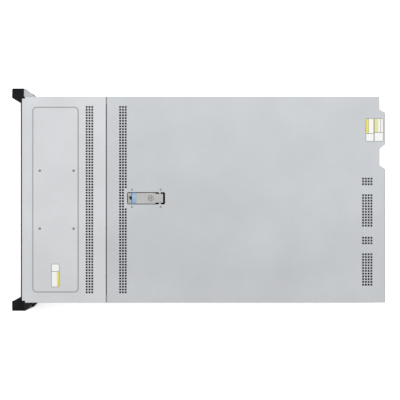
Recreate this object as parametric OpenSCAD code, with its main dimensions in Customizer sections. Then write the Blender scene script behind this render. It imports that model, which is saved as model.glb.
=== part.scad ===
// Rack server, 4U high, with a two-piece top and eight accelerator cards at the rear.
// Millimetres. X runs across the rack, Y from the front (-Y) to the rear (+Y), Z up.
// The origin is the middle of the underside of the whole object, ears included.

/* [Rack] */
// Width over the two rack ears
rack_w = 482.6; // [480:0.1:485]
// Distance across the rack between the screw holes of the two ears
rack_hole_span = 465.1; // [463:0.1:467]
// Height between the two screw holes of one ear
rack_hole_rise = 133.35; // [126:0.05:136]
// Diameter of a rack screw hole
rack_hole_d = 7; // [6:0.1:7.6]
// Diameter of the passage for a screw head through an ear handle
rack_head_d = 12; // [10:0.5:13]

/* [Chassis] */
// Width over the side walls
body_w = 447; // [440:1:452]
// Length from the front edge of the front cover to the rear edge of the lid
body_d = 788; // [760:1:820]
// Height of the flat top surface
body_h = 174; // [172:0.5:176]
// Thickness of the side walls
wall_t = 1.2; // [1:0.1:1.6]
// Thickness of the base pan
pan_t = 1.5; // [1.2:0.1:2]
// Height of the folded edges of the base pan
pan_edge_h = 16; // [10:1:30]
// Width of the ledges that carry the covers
ledge_w = 17; // [12:1:22]
// How far the lid stands out past the rear panel
rear_overhang = 12; // [8:0.5:16]
// Thickness of the rear panel
rear_t = 1.5; // [1.2:0.1:2]

// Distance between the two slide screw holes in a side wall
rail_hole_span = 540; // [400:1:640]
// Diameter of a slide screw hole
rail_hole_d = 4.4; // [3.4:0.1:5]

/* [Covers] */
// Thickness of the front cover and the rear lid
cover_t = 1.2; // [1:0.1:1.5]
// Length of the front cover
front_cover_d = 183.9; // [170:0.1:200]
// Gap between the front cover and the rear lid
seam_gap = 0.8; // [0.5:0.1:2]
// Height of the folded side edges below the top surface
cover_edge_h = 14; // [8:0.5:20]
// Clearance between the folded edges and the walls inside them
cover_clear = 0.4; // [0.3:0.1:0.8]
// Height of the raised panel in the front cover
emboss_h = 0.8; // [0.5:0.1:1.2]
// Width of the raised panel across the cover
emboss_w = 400; // [300:1:410]
// Length of the raised panel from front to back
emboss_d = 97.6; // [80:0.1:110]
// Distance from the front edge of the cover to the raised panel
emboss_inset = 24.4; // [15:0.1:30]
// Corner radius of the raised panel
emboss_r = 8; // [3:0.5:12]
// Depth of the notches in the rear edge of the lid
notch_d = 11.8; // [6:0.1:14]
// Length of the drop-on guide slots in the folded edges
guide_slot_h = 9; // [6:0.5:11]
// Diameter of the guide studs on the side walls
guide_stud_d = 4; // [3:0.5:5]

/* [Vents] */
// Distance between vent holes
vent_pitch = 6; // [5:0.1:8]
// Side of a square vent hole
vent_hole = 3.6; // [3:0.1:4.5]
// Number of vent holes in a long row
vent_rows = 68; // [60:1:70]
// Distance from the seam to the middle of the front cover's vents
vent_front_gap = 37; // [20:0.5:50]
// Distance from the seam to the middle of the lid's vents
vent_rear_gap = 35.6; // [20:0.5:40]
// Distance from the rear edge to the middle of the rear vents
vent_back_gap = 38.6; // [30:0.5:60]

/* [Latch] */
// Place of the latch across the lid
latch_x = -3; // [-20:1:20]
// Distance from the seam to the front end of the latch opening
latch_gap = 44.8; // [44:0.1:60]
// Length of the latch opening
latch_d = 82; // [78:0.5:90]
// Width of the latch opening
latch_w = 26; // [24:0.5:30]
// Gap between the lever and the edge of its opening
latch_clear = 1.3; // [0.8:0.1:2]
// Thickness of the lever's plate and cheeks
lever_t = 1.6; // [1.2:0.1:2]
// Diameter of the hinge pin
pin_d = 3; // [2.5:0.1:3.4]
// Clearance round the hinge pin
pin_clear = 0.05; // [0.02:0.01:0.08]
// Length of the touch button along the lever
touch_d = 8.9; // [7:0.1:10]
// Travel of the touch button
touch_travel = 2.2; // [1.5:0.1:2.6]
// Diameter of the quarter-turn lock
lock_d = 11.8; // [10:0.1:13]
// How far the lever opens, in degrees
lever_swing = 80; // [60:1:85]

/* [Ears] */
// How far the handles stand out in front of the front cover
handle_reach = 21; // [18:0.5:30]
// Distance from the front of a handle to the rack screw plate
ear_depth = 25.9; // [24:0.1:34]
// Thickness of the ear brackets
ear_t = 2; // [1.5:0.1:2.5]
// Thickness of the grip bar from front to back
grip_t = 8; // [7:0.5:10]
// Height of the finger gap
grip_gap_h = 100; // [90:1:104]
// How far the inner side of a handle reaches over the front
handle_flare = 12.7; // [8:0.1:16]

/* [Drives] */
// Number of drive columns
drive_cols = 4; // [4]
// Number of drive rows
drive_rows = 2; // [2]
// Width of a drive carrier
carrier_w = 105.4; // [104:0.1:106]
// Height of a drive carrier
carrier_h = 27; // [26:0.1:28]
// Length of a drive carrier
carrier_d = 162; // [158:1:166]
// Clearance between a carrier and its bay on each side
bay_clear = 0.6; // [0.4:0.1:1]
// Thickness of the drive cage sheet
cage_t = 1; // [0.8:0.1:1.4]
// Width of a hard drive
drive_w = 101.6; // [101.6]
// Height of a hard drive
drive_h = 20; // [15:0.1:22]
// Length of a hard drive
drive_d = 147; // [140:1:150]

/* [Cooling] */
// Number of fans across the chassis
fan_count = 3; // [3]
// Outside width of a fan
fan_w = 120; // [120]
// Depth of a fan
fan_d = 38; // [25:1:38]
// Distance between fan centres
fan_pitch = 142; // [130:1:145]
// Height of the fan centres
fan_z = 76; // [70:1:84]
// Number of blades of a rotor
blade_count = 7; // [5:1:11]

/* [Power] */
// Number of power supplies
psu_count = 4; // [4]
// Width of a power supply
psu_w = 73.5; // [73.5]
// Height of a power supply
psu_h = 39.5; // [38:0.1:40]
// Length of a power supply
psu_d = 185; // [180:1:200]
// Distance between power supplies
psu_pitch = 75.5; // [75.1:0.1:76]

/* [Cards] */
// Number of accelerator cards
card_count = 8; // [6:1:8]
// Distance between cards
card_pitch = 40.64; // [40:0.01:44]
// Length of a card
card_d = 267; // [240:1:280]
// Height of a card
card_h = 111; // [98:1:112]
// Thickness of a card
card_w = 38; // [34:0.5:39]

/* [Hidden] */
$fn = 48;
eps = 0.01;

// Outer planes
overall_d = body_d + handle_reach;
handle_front = -overall_d / 2;
front_y = handle_front + handle_reach;
rear_edge = overall_d / 2;
rear_y = rear_edge - rear_overhang;
seam_y = front_y + front_cover_d;
side_x = body_w / 2;
inner_x = side_x - wall_t;
top_z = body_h;
shelf_z = body_h - cover_t;
// Inner face of a wall above its joggle, and the height where the joggle starts
joggle_x = side_x - 2 * wall_t - cover_clear;
knee_z = top_z - cover_edge_h - 2 - wall_t - cover_clear;

// Ears
ear_x = rack_w / 2;
ear_plate_y = handle_front + ear_depth;
ear_mid_z = body_h / 2;
corner_cut = 3.7;
ear_bottom_z = 0.6;

// Front face
bezel_t = 2;
bezel_y = front_y - bezel_t;
front_half_w = side_x - handle_flare;

// Drives
bay_w = carrier_w + 2 * bay_clear;
bay_h = carrier_h + 2 * bay_clear;
col_pitch = bay_w + cage_t;
row_pitch = bay_h + cage_t;
cage_w = drive_cols * col_pitch + cage_t;
cage_h = drive_rows * row_pitch + cage_t;
cage_top = pan_t + cage_h;
cage_back = front_y + carrier_d + 6;
backplane_t = 1.6;
carrier_bezel_d = 8;
carrier_lever_h = 16;
carrier_pin_r = 1.2;

// Fans
fan_y = seam_y + 8;
fan_duct_r = fan_w / 2 - 2.5;
rotor_r = fan_duct_r - 1.5;
hub_r = 22;

// Latch
latch_front = seam_y + latch_gap;
latch_back = latch_front + latch_d;
lever_half_w = latch_w / 2 - latch_clear;
pivot_y = latch_back - 11.2;
pivot_z = top_z - 8;
catch_back = latch_front + 9.4;
touch_back = catch_back + 1.1 + touch_d;
lock_y = pivot_y - 18.3;
housing_t = 1;
housing_floor = top_z - 16;
rivet_x = 18.7;
bar_top = housing_floor - 1.5;
bar_h = 16;

// Boards
board_z = 8;
board_t = 1.6;
port_z = board_z + board_t;

// Rear
psu_sheet = 0.8;
psu_bank_x = inner_x - wall_t - 0.8;
psu_first_x = psu_bank_x - psu_sheet / 2 - psu_pitch / 2;
psu_floor = pan_t + 1.2;
psu_top = psu_floor + psu_h;
psu_roof_z = psu_top + 0.5;
card_deck_z = psu_top + 8;

module block(x0, x1, y0, y1, z0, z1) {
    translate([x0, y0, z0])
        cube([x1 - x0, y1 - y0, z1 - z0]);
}

module on_both_sides() {
    children();
    mirror([1, 0, 0])
        children();
}

// Rectangle with true arcs at its corners, centred on the origin
module round_rect(w, d, r) {
    square([w, d - 2 * r], center = true);
    square([w - 2 * r, d], center = true);
    for (x = [-1, 1], y = [-1, 1])
        translate([x * (w / 2 - r), y * (d / 2 - r)])
            circle(r = r);
}

// Profile drawn in X and Z, pushed along Y
module along_y(y0, y1) {
    translate([0, y1, 0])
        rotate([90, 0, 0])
            linear_extrude(y1 - y0)
                children();
}

// Cylinder along Y or X
module rod_y(r, y0, y1) {
    translate([0, y0, 0])
        rotate([-90, 0, 0])
            cylinder(r = r, h = y1 - y0);
}

module rod_x(r, x0, x1) {
    translate([x0, 0, 0])
        rotate([0, 90, 0])
            cylinder(r = r, h = x1 - x0);
}

// Square holes in columns (along Y) and rows (across), centred on the origin
module vent_holes(cols, rows) {
    for (c = [0:cols - 1], r = [0:rows - 1])
        translate([(r - (rows - 1) / 2) * vent_pitch, (c - (cols - 1) / 2) * vent_pitch])
            square(vent_hole, center = true);
}

// ---------------------------------------------------------------- covers

// Strips of holes right across, clear of the latch in the rear lid
module front_vents() {
    translate([0, seam_y - vent_front_gap])
        vent_holes(3, vent_rows);
}

latch_blank_rows = 7;
module rear_vents() {
    first = latch_x - latch_blank_rows / 2 * vent_pitch;
    last = latch_x + latch_blank_rows / 2 * vent_pitch;
    translate([0, seam_y + vent_rear_gap])
        for (c = [-1:1], r = [0:vent_rows - 1]) {
            x = (r - (vent_rows - 1) / 2) * vent_pitch;
            if (c < 1 || x < first || x > last)
                translate([x, c * vent_pitch])
                    square(vent_hole, center = true);
        }
}

// Four patches over the rear slots: middle of the patch and holes across it
rear_patches = [[-39.5, 3], [23.4, 12], [88.6, 3], [151.5, 12]];
module back_vents() {
    for (p = rear_patches)
        translate([p[0], rear_edge - vent_back_gap])
            vent_holes(4, p[1]);
}

// Folded side edge with open slots that drop over the guide studs
module folded_edge(y0, y1, studs) {
    difference() {
        block(side_x - wall_t, side_x, y0, y1, top_z - cover_edge_h, top_z);
        for (y = studs)
            block(side_x - wall_t - eps, side_x + eps, y - guide_stud_d / 2 - 0.6, y + guide_stud_d / 2 + 0.6,
                  top_z - cover_edge_h - eps, top_z - cover_edge_h + guide_slot_h);
    }
}

lid_studs = [for (i = [0:3]) seam_y + 60 + i * 160];
cover_studs = [front_y + 40, seam_y - 40];
ear_notch_y = ear_plate_y + ear_t;

module front_cover() {
    panel_y = front_y + emboss_inset + emboss_d / 2;
    color("silver") {
        difference() {
            union() {
                difference() {
                    block(-side_x, side_x, front_y, seam_y - seam_gap, shelf_z, top_z);
                    translate([0, 0, shelf_z - eps])
                        linear_extrude(cover_t + 2 * eps)
                            front_vents();
                    on_both_sides()
                        block(side_x - corner_cut - cover_clear, side_x + eps, front_y - eps,
                              ear_notch_y, shelf_z - eps, top_z + eps);
                }
                translate([0, panel_y, top_z - eps])
                    linear_extrude(emboss_h + eps)
                        round_rect(emboss_w, emboss_d, emboss_r);
            }
            translate([0, panel_y, shelf_z - eps])
                linear_extrude(emboss_h + eps)
                    round_rect(emboss_w - 2 * cover_t, emboss_d - 2 * cover_t, emboss_r - cover_t);
            for (p = cover_screw_places())
                translate([p[0], p[1], shelf_z])
                    cylinder(r = cover_screw_r + 0.2, h = cover_t + emboss_h + eps);
        }
        on_both_sides()
            folded_edge(ear_notch_y, seam_y - seam_gap, cover_studs);
    }
}

cover_screw_r = 2.3;
function cover_screw_places() =
    [for (x = [-62.8, 62.8], y = [39.2, 112.5]) [x, front_y + y]];

// Countersunk screws, flush with the raised panel, each with its nut plate below
module front_cover_screws() {
    z = top_z + emboss_h;
    color("gray")
        for (p = cover_screw_places())
            translate([p[0], p[1], 0])
                difference() {
                    translate([0, 0, shelf_z + emboss_h - 6])
                        union() {
                            cylinder(r = 1.5, h = 6);
                            translate([0, 0, 6 - eps])
                                cylinder(r = cover_screw_r, h = cover_t + eps - 0.1);
                            translate([0, 0, 6 - 1.8])
                                cylinder(r = 4, h = 1.5, $fn = 6);
                        }
                    translate([0, 0, z - 0.9])
                        for (a = [0, 90])
                            rotate(a)
                                translate([-1.3, -0.3, 0])
                                    cube([2.6, 0.6, 2]);
                }
}

// Outline of the rear lid with the stepped rear edge
module lid_outline() {
    back = rear_edge;
    cut = rear_edge - notch_d;
    polygon([
        [-side_x, seam_y], [side_x, seam_y], [side_x, back],
        [-66.5, back], [-75.2, cut], [-109.9, cut], [-119.6, back],
        [-189, back], [-195.5, cut], [-side_x, cut]]);
}

// Opening for the latch, with two tabs that hide the ends of the hinge pin
module latch_opening() {
    translate([latch_x, (latch_front + latch_back) / 2])
        difference() {
            round_rect(latch_w, latch_d, 3);
            for (s = [-1, 1])
                translate([s * latch_w / 2, pivot_y - (latch_front + latch_back) / 2])
                    square([5.6, 4.4], center = true);
        }
}

module rear_lid() {
    color("silver") {
        difference() {
            translate([0, 0, shelf_z])
                linear_extrude(cover_t)
                    difference() {
                        lid_outline();
                        latch_opening();
                        rear_vents();
                        back_vents();
                    }
            for (p = rivet_places())
                translate([p[0], p[1], shelf_z - eps])
                    cylinder(r = 1.5, h = cover_t + 2 * eps);
        }
        on_both_sides()
            folded_edge(seam_y, rear_edge - notch_d, lid_studs);
        // Stiffening fold across the front end, behind the seam
        block(-side_x + ledge_w + 2, side_x - ledge_w - 2, seam_y, seam_y + wall_t, top_z - 9, shelf_z);
    }
}

// ---------------------------------------------------------------- latch

function rivet_places() =
    [for (x = [-rivet_x, rivet_x], y = [latch_front + 10.6, pivot_y + 1.8]) [latch_x + x, y]];

module housing_outer() {
    translate([latch_x, (latch_front + latch_back) / 2])
        square([latch_w + 0.4 + 2 * housing_t, latch_d + 0.4 + 2 * housing_t], center = true);
}

module housing_inner() {
    translate([latch_x, (latch_front + latch_back) / 2])
        square([latch_w + 0.4, latch_d + 0.4], center = true);
}

// Pressed pan under the lid, with the catch block at its front end
module latch_housing() {
    color("silver")
        difference() {
            union() {
                difference() {
                    union() {
                        translate([0, 0, housing_floor])
                            linear_extrude(shelf_z - housing_floor)
                                housing_outer();
                        translate([latch_x, (latch_front + latch_back) / 2, shelf_z - housing_t])
                            linear_extrude(housing_t)
                                round_rect(2 * rivet_x + 9, latch_d + 2 * housing_t, 3);
                    }
                    translate([0, 0, housing_floor + housing_t])
                        linear_extrude(top_z)
                            housing_inner();
                    block(latch_x - 5, latch_x + 5, pivot_y - 24, pivot_y + 6,
                          housing_floor - eps, housing_floor + housing_t + eps);
                }
                catch_block();
            }
            for (p = rivet_places())
                translate([p[0], p[1], shelf_z - 2])
                    cylinder(r = 1.5, h = 3);
            translate([latch_x, pivot_y, pivot_z])
                rod_x(pin_d / 2 + pin_clear, -latch_w, latch_w);
        }
}

// Block that the touch button hooks on, with the hook-shaped relief
module catch_block() {
    w = latch_w / 2 - latch_clear;
    difference() {
        block(latch_x - w, latch_x + w, latch_front + latch_clear, catch_back,
              housing_floor + housing_t - eps, top_z - 0.4);
        block(latch_x - 4, latch_x + 3, catch_back - 3.6, catch_back + eps, top_z - 4, top_z);
        block(latch_x - 4, latch_x - 1, catch_back - 5.4, catch_back - 3.5, top_z - 4, top_z);
        block(latch_x - w - eps, latch_x + w + eps, catch_back - 2.4, catch_back + eps,
              housing_floor + housing_t + 3, top_z - 4.6);
    }
}

module latch_rivets() {
    color("gray")
        for (p = rivet_places())
            translate([p[0], p[1], shelf_z - housing_t - 0.8])
                union() {
                    cylinder(r = 1.45, h = cover_t + housing_t + 0.8);
                    cylinder(r = 2.4, h = 0.8);
                    translate([0, 0, cover_t + housing_t + 0.8])
                        cylinder(r1 = 2.2, r2 = 1.5, h = 0.6);
                }
}

// Outline of the lever in side view: cheeks that end in round bosses at the pin
module lever_cheek() {
    front = catch_back + 1.1;
    polygon([
        [front, pivot_z - 2.5], [pivot_y, pivot_z - 4], [pivot_y, top_z - 0.2 - lever_t],
        [front, top_z - 0.2 - lever_t]]);
    translate([pivot_y, pivot_z])
        circle(r = 4);
}

module side_profile(x0, x1) {
    translate([x0, 0, 0])
        rotate([90, 0, 90])
            linear_extrude(x1 - x0)
                children();
}

lever_neck = 9.5;
module latch_lever() {
    plate_z = top_z - 0.2 - lever_t;
    color("gainsboro")
        translate([latch_x, 0, 0])
            difference() {
                union() {
                    block(-lever_half_w, lever_half_w, touch_back + 0.3, pivot_y - lever_neck, plate_z, top_z - 0.2);
                    block(-lever_neck, lever_neck, pivot_y - lever_neck - eps, latch_back - 4.2, plate_z, top_z - 0.2);
                    for (s = [-1, 1]) {
                        // Wide cheeks in front, set in at the hinge
                        intersection() {
                            side_profile(s > 0 ? lever_half_w - lever_t : -lever_half_w, s > 0 ? lever_half_w : lever_t - lever_half_w)
                                lever_cheek();
                            block(-latch_w, latch_w, catch_back, pivot_y - lever_neck, 0, top_z);
                        }
                        intersection() {
                            side_profile(s > 0 ? lever_neck - 3 : -lever_neck, s > 0 ? lever_neck : 3 - lever_neck)
                                lever_cheek();
                            block(-latch_w, latch_w, pivot_y - lever_neck - lever_t, latch_back, 0, top_z);
                        }
                        // Shoulders that join the wide and the narrow cheeks
                        block(s > 0 ? lever_neck - 3 : -lever_half_w, s > 0 ? lever_half_w : 3 - lever_neck,
                              pivot_y - lever_neck - lever_t, pivot_y - lever_neck, pivot_z - 2.5, plate_z + eps);
                    }
                    // Tray below the touch button
                    block(-lever_half_w, lever_half_w, catch_back + 1.1, touch_back + 3, pivot_z - 2.5, pivot_z - 0.5);
                    block(-lever_half_w, lever_half_w, touch_back + 0.3, touch_back + 0.3 + lever_t, pivot_z - 1, plate_z + eps);
                    // Cam finger that drops into the cross bar
                    side_profile(-2.5, 2.5)
                        polygon([
                            [pivot_y - 4, pivot_z], [pivot_y + 3, pivot_z], [pivot_y + 2.4, pivot_z - 17],
                            [pivot_y, pivot_z - 18.5], [pivot_y - 2.6, pivot_z - 17]]);
                    translate([0, pivot_y, pivot_z])
                        rod_x(4, -lever_neck, lever_neck);
                }
                block(-latch_w, latch_w, catch_back, touch_back + 0.3, pivot_z - 0.5, top_z + 1);
                translate([0, lock_y, plate_z - 1])
                    cylinder(r = lock_d / 2 + 0.3, h = lever_t + 2);
                translate([0, pivot_y, pivot_z])
                    rod_x(pin_d / 2 + pin_clear, -latch_w, latch_w);
                for (s = [-1, 1])
                    translate([s * touch_leg_x, (catch_back + 1.1 + touch_back) / 2, pivot_z])
                        cube([touch_leg + 0.6, touch_leg + 0.6, 12], center = true);
            }
}

module latch_hinge_pin() {
    color("gray")
        translate([latch_x, pivot_y, pivot_z])
            rod_x(pin_d / 2, -latch_w / 2 - housing_t - 0.2, latch_w / 2 + housing_t + 0.2);
}

touch_leg = 4;
touch_leg_x = 6;
module latch_touch_button() {
    front = catch_back + 1.1;
    mid = (front + touch_back) / 2;
    color("deepskyblue")
        translate([latch_x, 0, 0]) {
            difference() {
                block(-lever_half_w + 0.1, lever_half_w - 0.1, front, touch_back, pivot_z + 2, top_z);
                // Dished top for a fingertip
                translate([0, mid, top_z + 29])
                    rod_x(30, -lever_half_w + 2, lever_half_w - 2);
            }
            for (s = [-1, 1])
                translate([s * touch_leg_x - touch_leg / 2, mid - touch_leg / 2, pivot_z - 3.2])
                    cube([touch_leg, touch_leg, 5.2 + eps]);
            // Nose that points under the lip of the catch block
            block(-3.5, 2.5, front - 0.7, front + 1, pivot_z + 2, pivot_z + 3.2);
        }
}

module latch_lock() {
    color("lightgray")
        translate([latch_x, lock_y, 0])
            difference() {
                union() {
                    translate([0, 0, pivot_z + 2.4])
                        cylinder(r = lock_d / 2, h = top_z - pivot_z - 2.4);
                    translate([0, 0, pivot_z + 4])
                        cylinder(r = lock_d / 2 + 1.2, h = top_z - 0.2 - lever_t - pivot_z - 4.3);
                    block(-2, 2, -8.6, 0, pivot_z + 1, pivot_z + 2.5);
                }
                translate([0, 0, top_z - 1.4])
                    for (a = [0, 90])
                        rotate(a)
                            translate([-2.2, -0.45, 0])
                                cube([4.4, 0.9, 2]);
            }
}

// ---------------------------------------------------------------- chassis

module base_pan() {
    color("darkgray")
        difference() {
            union() {
                difference() {
                    block(-inner_x, inner_x, front_y, rear_y, 0, pan_t);
                    on_both_sides()
                        block(side_x - corner_cut - cover_clear, inner_x + 1, front_y - 1, ear_notch_y, -1, pan_t + 1);
                }
                on_both_sides()
                    block(inner_x - wall_t, inner_x, ear_notch_y, rear_y - rear_t, pan_t - eps, pan_edge_h);
            }
            for (x = [-180:60:180], y = [-120, -60])
                translate([x, y, -eps])
                    cylinder(r = 2, h = pan_t + 2 * eps, $fn = 6);
        }
}

// Wall with a joggle that makes room for the folded cover edge, and a ledge at the top
module wall_profile() {
    step = wall_t + cover_clear;
    x = side_x;
    polygon([
        [x, 0], [x, knee_z], [x - step, knee_z + step], [x - step, shelf_z], [x - ledge_w, shelf_z],
        [x - ledge_w, shelf_z - wall_t], [joggle_x, shelf_z - wall_t],
        [joggle_x, knee_z + step - 0.5], [inner_x, knee_z - 0.5], [inner_x, 0]]);
}

module side_wall() {
    difference() {
        along_y(ear_notch_y, rear_y)
            wall_profile();
        // Screw holes for the rack slide
        for (s = [-1, 1])
            translate([0, s * rail_hole_span / 2, body_h / 2])
                rod_x(rail_hole_d / 2, side_x - 3, side_x + 1);
    }
    for (y = concat(lid_studs, cover_studs))
        translate([0, y, top_z - cover_edge_h + 5])
            rod_x(guide_stud_d / 2, side_x - wall_t - cover_clear - 0.5, side_x - 0.1);
}

module side_wall_left() {
    color("silver")
        mirror([1, 0, 0])
            side_wall();
}

module side_wall_right() {
    color("silver")
        side_wall();
}

function psu_x(i) = psu_first_x - (i - 1) * psu_pitch;
function card_x(i) = (i - (card_count + 1) / 2) * card_pitch;

module rear_panel() {
    color("silver")
        difference() {
            along_y(rear_y - rear_t, rear_y)
                union() {
                    translate([-inner_x, pan_t])
                        square([2 * inner_x, knee_z - 0.6 - pan_t]);
                    translate([-joggle_x, pan_t])
                        square([2 * joggle_x, shelf_z - wall_t - pan_t]);
                    translate([-side_x + ledge_w + 0.2, pan_t])
                        square([2 * (side_x - ledge_w - 0.2), shelf_z - pan_t]);
                }
            for (i = [1:psu_count])
                block(psu_x(i) - psu_w / 2 - 0.5, psu_x(i) + psu_w / 2 + 0.5, rear_y - 5, rear_y + 5,
                      psu_floor - 0.5, psu_top + 0.6);
            for (i = [1:card_count])
                block(card_x(i) - 18, card_x(i) + 18, rear_y - 5, rear_y + 5, card_deck_z + 8, card_deck_z + 100);
            for (p = port_places)
                block(p[0], p[0] + p[1], rear_y - 5, rear_y + 5, port_z - port_gap, port_z + p[2]);
            // Round holes between the slots and the ends
            for (s = [-1, 1], i = [0:5], j = [0:1])
                translate([s * (194 + j * 14), 0, card_deck_z + 14 + i * 16])
                    rod_y(4, rear_y - 5, rear_y + 5);
        }
}

// Sockets of the main board: left edge, width and height of each opening
port_places = [[-212, 31, 10.5], [-176, 16, 13.5], [-156, 16, 13.5], [-136, 13.5, 14], [-118, 13.5, 14]];
port_gap = 0.4;

module cross_bar() {
    half = joggle_x;
    y0 = pivot_y - 26;
    y1 = pivot_y + 20;
    color("darkgray")
        difference() {
            union() {
                block(-half, half, y0, y1, bar_top - wall_t, bar_top);
                block(-half, half, y0, y0 + wall_t, bar_top - bar_h, bar_top);
                block(-half, half, y1 - wall_t, y1, bar_top - bar_h, bar_top);
                on_both_sides()
                    block(half - 1.5, half, y0, y1, bar_top - bar_h, shelf_z - wall_t);
            }
            block(latch_x - 4, latch_x + 4, pivot_y - 22, pivot_y + 5, bar_top - 3, bar_top + eps);
            for (x = [-150:60:150])
                if (abs(x - latch_x) > 20)
                    translate([x, (y0 + y1) / 2, bar_top - 3])
                        cylinder(r = 9, h = 4);
        }
}

// ---------------------------------------------------------------- ears

// Flange, side leg and two corner gussets of one ear
module ear_bracket() {
    z0 = ear_bottom_z + 0.4;
    z1 = top_z - 0.4;
    flange_y = ear_plate_y + ear_t;
    difference() {
        union() {
            block(side_x, ear_x, ear_plate_y, flange_y, z0, z1);
            block(side_x, side_x + ear_t, ear_plate_y, flange_y + 16.5, z0, z1);
            for (z = [z0, z1 - 1.5])
                translate([0, 0, z])
                    linear_extrude(1.5)
                        polygon([
                            [side_x + eps, flange_y - eps], [ear_x - 0.2, flange_y - eps],
                            [ear_x - 0.2, flange_y + 2], [side_x + ear_t + 1, flange_y + 16.5],
                            [side_x + eps, flange_y + 16.5]]);
        }
        for (s = [-1, 1])
            translate([rack_hole_span / 2, 0, ear_mid_z + s * rack_hole_rise / 2])
                rod_y(rack_hole_d / 2, ear_plate_y - 1, flange_y + 1);
    }
}

module ear_bracket_left() {
    color("silver")
        mirror([1, 0, 0])
            ear_bracket();
}

module ear_bracket_right() {
    color("dimgray")
        ear_bracket();
}

// Moulded handle: two end blocks joined by a grip bar, with the finger gap behind it
module ear_handle() {
    inner = side_x - corner_cut;
    difference() {
        union() {
            translate([0, 0, ear_bottom_z])
                linear_extrude(top_z - ear_bottom_z)
                    polygon([
                        [ear_x, handle_front + 1.5], [ear_x - 1.5, handle_front],
                        [inner + 1, handle_front], [inner, handle_front + 1],
                        [inner, ear_plate_y], [ear_x, ear_plate_y]]);
            // Flare that covers the edge of the grille, clear of the drives below it
            translate([0, 0, grille_z0 + 0.3])
                linear_extrude(top_z - grille_z0 - 0.3)
                    polygon([
                        [inner + 1, handle_front], [side_x - handle_flare, bezel_y - 0.3],
                        [inner + 1, bezel_y - 0.3]]);
        }
        block(side_x - 20, ear_x + 1, handle_front + grip_t, ear_plate_y - 1.4,
              ear_mid_z - grip_gap_h / 2, ear_mid_z + grip_gap_h / 2);
        for (s = [-1, 1])
            translate([rack_hole_span / 2, 0, ear_mid_z + s * rack_hole_rise / 2])
                rod_y(rack_head_d / 2, handle_front - 1, ear_plate_y + 1);
    }
}

module ear_handle_left() {
    color([0.1, 0.1, 0.12])
        mirror([1, 0, 0])
            ear_handle();
}

module ear_handle_right() {
    color([0.1, 0.1, 0.12])
        ear_handle();
}

// ---------------------------------------------------------------- front

panel_w = 34;
grille_z0 = cage_top;
grille_cell = 9;
grille_web = 1.6;

// Honeycomb of pointed-up cells inside a plain border
module honeycomb(x0, x1, z0, z1) {
    step_x = grille_cell + grille_web;
    step_z = step_x * sqrt(3) / 2;
    cols = floor((x1 - x0 - grille_cell) / step_x);
    rows = floor((z1 - z0 - grille_cell) / step_z);
    mid_x = (x0 + x1) / 2;
    mid_z = (z0 + z1) / 2;
    for (r = [0:rows], c = [0:cols - (r % 2)])
        translate([mid_x + (c - (cols - (r % 2)) / 2) * step_x, mid_z + (r - rows / 2) * step_z])
            rotate(30)
                circle(r = grille_cell / sqrt(3), $fn = 6);
}

module front_grille() {
    x1 = front_half_w - panel_w - 0.3;
    color([0.13, 0.13, 0.14]) {
        along_y(bezel_y, front_y - 0.4)
            difference() {
                translate([-front_half_w, grille_z0])
                    square([x1 + front_half_w, shelf_z - 0.3 - grille_z0]);
                honeycomb(-front_half_w + 5, x1 - 4, grille_z0 + 4, shelf_z - 5);
            }
        // Folded returns that stand on the drive cage and reach up to the cover
        block(-front_half_w, x1, front_y - 0.4 - eps, front_y + 6, grille_z0, grille_z0 + 1.2);
        block(-front_half_w, x1, front_y - 0.4 - eps, front_y + 6, shelf_z - 1.5, shelf_z - 0.3);
    }
}

power_z = 150;
locate_z = 132;
panel_x = front_half_w - panel_w / 2;
module control_panel() {
    color([0.1, 0.1, 0.12])
        difference() {
            union() {
                block(front_half_w - panel_w, front_half_w, bezel_y, front_y, grille_z0, shelf_z - 0.3);
                block(front_half_w - panel_w, front_half_w, front_y - eps, front_y + 6, grille_z0, grille_z0 + 1.5);
                block(front_half_w - panel_w, front_half_w, front_y - eps, front_y + 6, shelf_z - 1.8, shelf_z - 0.3);
                block(panel_x - 9, panel_x + 9, front_y - eps, front_y + 9, locate_z - 8, power_z + 9);
                block(panel_x - 9, panel_x + 9, front_y - eps, front_y + 7, 80, 110);
            }
            translate([panel_x, 0, power_z])
                rod_y(5.3, bezel_y - 1, front_y + 7);
            translate([panel_x, 0, locate_z])
                rod_y(3.8, bezel_y - 1, front_y + 7);
            // Two sockets, each with its tongue
            for (z = [84, 100])
                difference() {
                    block(panel_x - 6.6, panel_x + 6.6, bezel_y - 1, front_y + 5, z, z + 5.6);
                    block(panel_x - 5.2, panel_x + 5.2, bezel_y + 0.6, front_y + 6, z + 2.8, z + 4.4);
                }
            for (i = [0:3])
                translate([panel_x - 9 + i * 6, 0, 117])
                    rod_y(1.2, bezel_y - 1, front_y + 1);
        }
}

module push_button(r, z) {
    translate([panel_x, 0, z])
        difference() {
            rod_y(r, bezel_y - 0.6, front_y + 4);
            translate([0, bezel_y - 20.2, 0])
                sphere(r = 20);
        }
}

module power_button() {
    color("dimgray")
        push_button(5, power_z);
}

module locate_button() {
    color("dimgray")
        push_button(3.5, locate_z);
}

// ---------------------------------------------------------------- drives

function column_x(c) = (c - (drive_cols - 1) / 2) * col_pitch;
function row_z(r) = pan_t + cage_t + bay_clear + r * row_pitch;

module drive_cage() {
    color("lightgray") {
        difference() {
            union() {
                for (r = [0:drive_rows])
                    block(-cage_w / 2, cage_w / 2, front_y, cage_back, pan_t + r * row_pitch, pan_t + r * row_pitch + cage_t);
                for (c = [0:drive_cols])
                    block(c * col_pitch - cage_w / 2, c * col_pitch - cage_w / 2 + cage_t, front_y, cage_back, pan_t, cage_top);
                // Front lips that close the gap to the ears
                on_both_sides()
                    block(cage_w / 2 - eps, side_x - corner_cut - cover_clear, front_y, front_y + 1.2, pan_t, cage_top);
            }
        }
    }
}

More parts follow.
